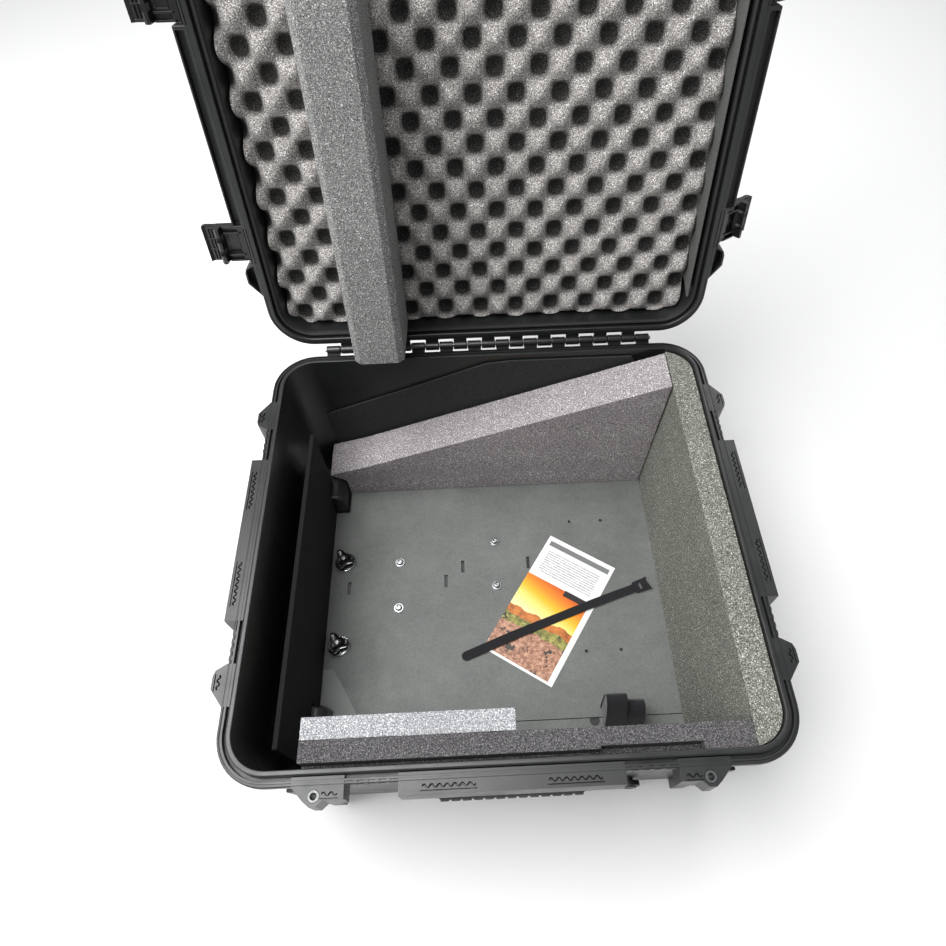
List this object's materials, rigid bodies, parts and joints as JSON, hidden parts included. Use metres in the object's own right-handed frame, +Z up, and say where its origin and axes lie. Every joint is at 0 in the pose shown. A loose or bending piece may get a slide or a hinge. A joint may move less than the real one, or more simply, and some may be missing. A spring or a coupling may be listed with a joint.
{
  "type": "drone carrying case",
  "caption": "Wheeled hard case with a hinged lid, press-release latches, fold-down and pull-out handles, and foam inserts for a drone.",
  "frame": {"origin": "middle of the underside, where the case stands on its runners", "axes": "+X towards the pull-out handle, +Y towards the hinge, +Z up out of the open base"},
  "size_m": [0.7094, 0.7793, 0.8732],
  "materials": {
    "shell_polymer": "fine-textured black structural polymer",
    "fitting_polymer": "black glass-filled nylon",
    "steel": "stainless steel",
    "rubber_grip": "black overmoulded rubber",
    "wheel_rubber": "dark polyurethane",
    "foam_light": "open-cell mid-grey polyurethane foam with a light speckle",
    "foam_dark": "dense charcoal foam with a fine speckle",
    "board_black": "black closed-cell board",
    "plate_polymer": "grey-green mottled polymer sheet",
    "printed_card": "coated printed card",
    "hook_and_loop": "black hook-and-loop webbing",
    "aluminium_tube": "satin aluminium",
    "button_red": "dark red release button"
  },
  "bodies": {
    "case_base": {"base_shell": "shell_polymer", "hinge_pin": "steel", "pressure_valve": "fitting_polymer", "floor_plate": "plate_polymer", "floor_plate_front": "plate_polymer", "plate_bolt_1": "steel", "plate_bolt_2": "steel", "plate_bolt_3": "steel", "plate_bolt_4": "steel", "knob_disc_back": "steel", "knob_disc_front": "steel", "foam_back_block": "foam_light", "foam_right_slab": "foam_dark", "foam_front_slab": "foam_dark", "foam_front_block": "foam_light", "divider_board": "board_black", "back_sheet": "board_black", "leaflet": "printed_card", "tie_strap": "hook_and_loop", "strap_loop": "hook_and_loop", "wheel_axle_front": "steel", "wheel_axle_back": "steel", "trolley_guide_front": "fitting_polymer", "trolley_guide_back": "fitting_polymer", "padlock_eye_left": "steel", "padlock_eye_right": "steel", "front_handle_pin_a": "steel", "front_handle_pin_b": "steel"},
    "lid": {"lid_shell": "shell_polymer", "lid_seal": "rubber_grip", "lid_foam": "foam_light", "lid_side_board": "board_black", "foam_beam": "foam_light", "latch_pin_left_front": "steel", "latch_pin_left_back": "steel", "latch_pin_right_front": "steel", "latch_pin_right_back": "steel", "latch_pin_front_left": "steel", "latch_pin_front_right": "steel"},
    "latch_left_front": {"latch_left_front": "fitting_polymer"},
    "latch_button_left_front": {"latch_button_left_front": "fitting_polymer"},
    "latch_left_back": {"latch_left_back": "fitting_polymer"},
    "latch_button_left_back": {"latch_button_left_back": "fitting_polymer"},
    "latch_right_front": {"latch_right_front": "fitting_polymer"},
    "latch_button_right_front": {"latch_button_right_front": "fitting_polymer"},
    "latch_right_back": {"latch_right_back": "fitting_polymer"},
    "latch_button_right_back": {"latch_button_right_back": "fitting_polymer"},
    "latch_front_left": {"latch_front_left": "fitting_polymer"},
    "latch_button_front_left": {"latch_button_front_left": "fitting_polymer"},
    "latch_front_right": {"latch_front_right": "fitting_polymer"},
    "latch_button_front_right": {"latch_button_front_right": "fitting_polymer"},
    "plate_knob_back": {"plate_knob_back": "fitting_polymer"},
    "plate_knob_front": {"plate_knob_front": "fitting_polymer"},
    "wheel_front": {"wheel_front": "wheel_rubber"},
    "wheel_back": {"wheel_back": "wheel_rubber"},
    "trolley_handle": {"trolley_handle": "aluminium_tube"},
    "trolley_button": {"trolley_button": "button_red"},
    "front_handle": {"front_handle": "rubber_grip"},
    "left_handle": {"left_handle": "rubber_grip"}
  },
  "joints": [
    {"name": "lid_hinge", "type": "hinge", "parent": "case_base", "child": "lid", "pos_m": [0, 0.294, 0.258], "axis": [1, 0, 0], "range_deg": [0, 102.2]},
    {"name": "latch_left_front_hinge", "type": "hinge", "parent": "lid", "child": "latch_left_front", "pos_m": [-0.3083, 0.39987, 0.67197], "axis": [0, 0.2113, 0.9774], "range_deg": [-40, 90]},
    {"name": "latch_button_left_front_press", "type": "slide", "parent": "latch_left_front", "child": "latch_button_left_front", "axis": [0, -0.9774, 0.2113], "range_m": [0, 0.0025], "stiffness_N_per_m": 300},
    {"name": "latch_left_back_hinge", "type": "hinge", "parent": "lid", "child": "latch_left_back", "pos_m": [-0.3083, 0.34366, 0.41198], "axis": [0, 0.2113, 0.9774], "range_deg": [-40, 90]},
    {"name": "latch_button_left_back_press", "type": "slide", "parent": "latch_left_back", "child": "latch_button_left_back", "axis": [0, -0.9774, 0.2113], "range_m": [0, 0.0025], "stiffness_N_per_m": 300},
    {"name": "latch_right_front_hinge", "type": "hinge", "parent": "lid", "child": "latch_right_front", "pos_m": [0.3083, 0.39987, 0.67197], "axis": [0, -0.2113, -0.9774], "range_deg": [-5, 125]},
    {"name": "latch_button_right_front_press", "type": "slide", "parent": "latch_right_front", "child": "latch_button_right_front", "axis": [0.5736, -0.8007, 0.1731], "range_m": [0, 0.0025], "stiffness_N_per_m": 300},
    {"name": "latch_right_back_hinge", "type": "hinge", "parent": "lid", "child": "latch_right_back", "pos_m": [0.3083, 0.34366, 0.41198], "axis": [0, -0.2113, -0.9774], "range_deg": [-5, 125]},
    {"name": "latch_button_right_back_press", "type": "slide", "parent": "latch_right_back", "child": "latch_button_right_back", "axis": [0.5736, -0.8007, 0.1731], "range_m": [0, 0.0025], "stiffness_N_per_m": 300},
    {"name": "latch_front_left_hinge", "type": "hinge", "parent": "lid", "child": "latch_front_left", "pos_m": [-0.14, 0.43312, 0.82572], "axis": [1, 0, 0], "range_deg": [-30, 100]},
    {"name": "latch_button_front_left_press", "type": "slide", "parent": "latch_front_left", "child": "latch_button_front_left", "axis": [0, -0.9259, 0.3778], "range_m": [0, 0.0025], "stiffness_N_per_m": 300},
    {"name": "latch_front_right_hinge", "type": "hinge", "parent": "lid", "child": "latch_front_right", "pos_m": [0.14, 0.43312, 0.82572], "axis": [1, 0, 0], "range_deg": [-30, 100]},
    {"name": "latch_button_front_right_press", "type": "slide", "parent": "latch_front_right", "child": "latch_button_front_right", "axis": [0, -0.9259, 0.3778], "range_m": [0, 0.0025], "stiffness_N_per_m": 300},
    {"name": "plate_knob_back_turn", "type": "hinge", "parent": "case_base", "child": "plate_knob_back", "pos_m": [-0.235, 0.066, 0.035], "axis": [0, 0, 1], "continuous": true},
    {"name": "plate_knob_front_turn", "type": "hinge", "parent": "case_base", "child": "plate_knob_front", "pos_m": [-0.235, -0.066, 0.035], "axis": [0, 0, 1], "continuous": true},
    {"name": "wheel_front_spin", "type": "hinge", "parent": "case_base", "child": "wheel_front", "pos_m": [-0.2875, -0.185, 0.0305], "axis": [0, 1, 0], "continuous": true},
    {"name": "wheel_back_spin", "type": "hinge", "parent": "case_base", "child": "wheel_back", "pos_m": [-0.2875, 0.185, 0.0305], "axis": [0, 1, 0], "continuous": true},
    {"name": "trolley_slide", "type": "slide", "parent": "case_base", "child": "trolley_handle", "axis": [1, 0, 0], "range_m": [0, 0.37]},
    {"name": "trolley_button_press", "type": "slide", "parent": "trolley_handle", "child": "trolley_button", "axis": [-1, 0, 0], "range_m": [0, 0.0025], "stiffness_N_per_m": 400},
    {"name": "front_handle_fold", "type": "hinge", "parent": "case_base", "child": "front_handle", "pos_m": [0, -0.285, 0.218], "axis": [-1, 0, 0], "range_deg": [0, 95]},
    {"name": "left_handle_fold", "type": "hinge", "parent": "case_base", "child": "left_handle", "pos_m": [-0.3026, 0, 0.218], "axis": [0, 1, 0], "range_deg": [0, 95]}
  ]
}
